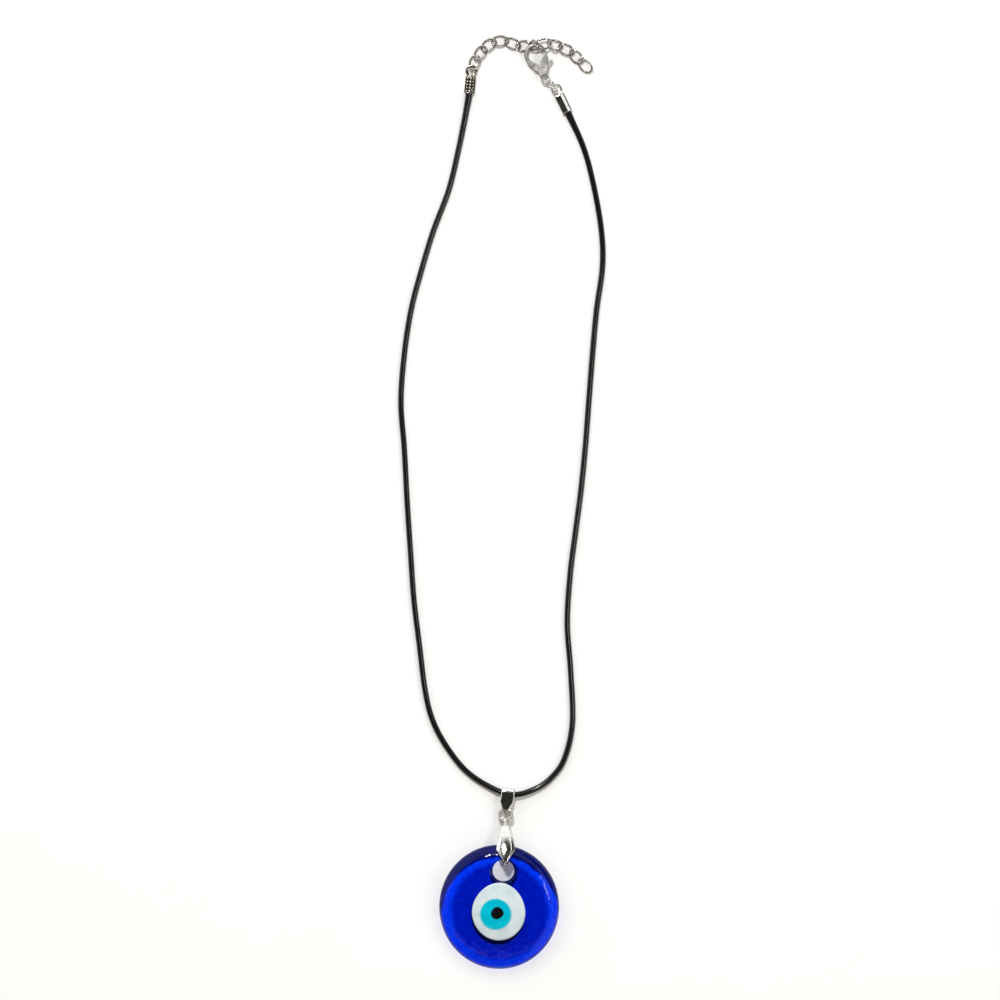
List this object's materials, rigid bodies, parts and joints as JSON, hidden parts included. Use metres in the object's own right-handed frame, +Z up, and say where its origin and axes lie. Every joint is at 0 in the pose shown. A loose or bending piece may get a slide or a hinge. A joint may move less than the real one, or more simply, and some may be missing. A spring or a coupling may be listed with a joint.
{
  "type": "evil eye pendant necklace",
  "caption": "Blue glass evil eye disc on a pinch bail and a black waxed cord, with crimped ends, a lobster clasp and an extender chain.",
  "frame": {"origin": "bottom centre of the necklace's box, without its cord, on the surface that it lies on", "axes": "+Z up from the surface, +Y from the pendant to the clasp, +X to the viewer's right"},
  "size_m": [0.0607, 0.2726, 0.0085],
  "materials": {
    "blue_glass": "polished transparent cobalt glass",
    "white_glass": "glossy opaque white glass",
    "turquoise_glass": "glossy opaque turquoise glass",
    "black_glass": "glossy opaque black glass",
    "bright_plate": "bright nickel plate",
    "satin_plate": "satin nickel plate",
    "chain_plate": "bright nickel plate on twisted wire",
    "spring_steel": "drawn spring wire",
    "waxed_cord": "black waxed cotton braid"
  },
  "bodies": {
    "cord_set": {"cord": "waxed_cord", "cord_end_left": "bright_plate", "cord_end_right": "bright_plate"},
    "band": {"bail_band": "bright_plate"},
    "rear_jaw": {"jaw_rear": "bright_plate"},
    "front_jaw": {"jaw_front": "bright_plate"},
    "pendant": {"glass_disc": "blue_glass", "eye_white": "white_glass", "eye_iris": "turquoise_glass", "eye_pupil": "black_glass"},
    "ring": {"jump_ring": "bright_plate"},
    "clasp": {"clasp_body": "satin_plate", "clasp_pin": "bright_plate", "clasp_spring": "spring_steel"},
    "gate": {"clasp_lever": "satin_plate"},
    "chain_1": {"link_1": "chain_plate"},
    "chain_2": {"link_2": "chain_plate"},
    "chain_3": {"link_3": "chain_plate"},
    "chain_4": {"link_4": "chain_plate"},
    "chain_5": {"link_5": "chain_plate"},
    "chain_6": {"link_6": "chain_plate"},
    "chain_7": {"link_7": "chain_plate"},
    "chain_8": {"link_8": "chain_plate"},
    "chain_9": {"link_9": "chain_plate"},
    "chain_10": {"link_10": "chain_plate"},
    "chain_11": {"link_11": "chain_plate"},
    "chain_12": {"link_12": "chain_plate"}
  },
  "joints": [
    {"name": "band_swing", "type": "hinge", "parent": "cord_set", "child": "band", "pos_m": [-0.0016, -0.0861, 0.00175], "axis": [-0.989, 0.1478, 0], "range_deg": [0, 120]},
    {"name": "bail_swing", "type": "hinge", "parent": "band", "child": "rear_jaw", "pos_m": [-0.00335, -0.09035, 0.00175], "axis": [-1, 0, 0], "range_deg": [0, 15]},
    {"name": "jaw_open", "type": "hinge", "parent": "rear_jaw", "child": "front_jaw", "pos_m": [-0.00335, -0.09035, 0.00175], "axis": [-1, 0, 0], "range_deg": [0, 35]},
    {"name": "disc_swing", "type": "hinge", "parent": "rear_jaw", "child": "pendant", "pos_m": [-0.00335, -0.10665, 0.0026], "axis": [0, -0.0523, 0.9986], "range_deg": [-35, 35]},
    {"name": "clasp_sway", "type": "hinge", "parent": "cord_set", "child": "ring", "pos_m": [0.01157, 0.1204, 0.0021], "axis": [0, 0, 1], "range_deg": [-8, 8]},
    {"name": "clasp_turn", "type": "hinge", "parent": "ring", "child": "clasp", "pos_m": [0.00827, 0.12326, 0.0025], "axis": [0, 0, 1], "range_deg": [-8.99, 8.99]},
    {"name": "gate_open", "type": "hinge", "parent": "clasp", "child": "gate", "pos_m": [0.00779, 0.12651, 0.0025], "axis": [0, 0, -1], "range_deg": [0, 20], "stiffness_Nm_per_rad": 0.005, "springref_deg": -17.19},
    {"name": "link_1_turn", "type": "hinge", "parent": "cord_set", "child": "chain_1", "pos_m": [-0.0131, 0.1264, 0.0015], "axis": [0, 0, 1], "range_deg": [-1.55, 1.55]},
    {"name": "link_2_turn", "type": "hinge", "parent": "chain_1", "child": "chain_2", "pos_m": [-0.0119, 0.1295, 0.00125], "axis": [0, 0, 1], "range_deg": [-0.141, 0.141]},
    {"name": "link_3_turn", "type": "hinge", "parent": "chain_2", "child": "chain_3", "pos_m": [-0.00975, 0.1323, 0.0011], "axis": [0, 0, 1], "range_deg": [-1.39, 1.39]},
    {"name": "link_4_turn", "type": "hinge", "parent": "chain_3", "child": "chain_4", "pos_m": [-0.0068, 0.1344, 0.0012], "axis": [0, 0, 1], "range_deg": [-1.99, 1.99]},
    {"name": "link_5_turn", "type": "hinge", "parent": "chain_4", "child": "chain_5", "pos_m": [-0.00305, 0.13465, 0.0011], "axis": [0, 0, 1], "range_deg": [-1.2, 1.2]},
    {"name": "link_6_turn", "type": "hinge", "parent": "chain_5", "child": "chain_6", "pos_m": [0.0003, 0.133, 0.00105], "axis": [0, 0, 1], "range_deg": [-0.71, 0.71]},
    {"name": "link_7_turn", "type": "hinge", "parent": "chain_6", "child": "chain_7", "pos_m": [0.00385, 0.1332, 0.00105], "axis": [0, 0, 1], "range_deg": [-1.48, 1.48]},
    {"name": "link_8_turn", "type": "hinge", "parent": "chain_7", "child": "chain_8", "pos_m": [0.006, 0.1335, 0.004], "axis": [0, 0, 1], "range_deg": [-9, 15]},
    {"name": "link_9_turn", "type": "hinge", "parent": "chain_8", "child": "chain_9", "pos_m": [0.00925, 0.1338, 0.003], "axis": [0, 0, -1], "range_deg": [-25, 15]},
    {"name": "link_10_turn", "type": "hinge", "parent": "chain_9", "child": "chain_10", "pos_m": [0.0127, 0.13285, 0.0016], "axis": [0, 0, 1], "range_deg": [-18, 25]},
    {"name": "link_11_turn", "type": "hinge", "parent": "chain_10", "child": "chain_11", "pos_m": [0.016, 0.1312, 0.0014], "axis": [0, 0, -1], "range_deg": [-25, 25]},
    {"name": "link_12_turn", "type": "hinge", "parent": "chain_11", "child": "chain_12", "pos_m": [0.0186, 0.12865, 0.00115], "axis": [0, 0, 1], "range_deg": [-25, 25]}
  ],
  "couplings": [
    {"joint": "clasp_turn", "follows": "clasp_sway", "ratio": -1.124},
    {"joint": "link_1_turn", "follows": "clasp_sway", "ratio": 0.1932},
    {"joint": "link_2_turn", "follows": "clasp_sway", "ratio": -0.0176},
    {"joint": "link_3_turn", "follows": "clasp_sway", "ratio": -0.1742},
    {"joint": "link_4_turn", "follows": "clasp_sway", "ratio": -0.2492},
    {"joint": "link_5_turn", "follows": "clasp_sway", "ratio": -0.1502},
    {"joint": "link_6_turn", "follows": "clasp_sway", "ratio": 0.0887},
    {"joint": "link_7_turn", "follows": "clasp_sway", "ratio": 0.1854}
  ]
}
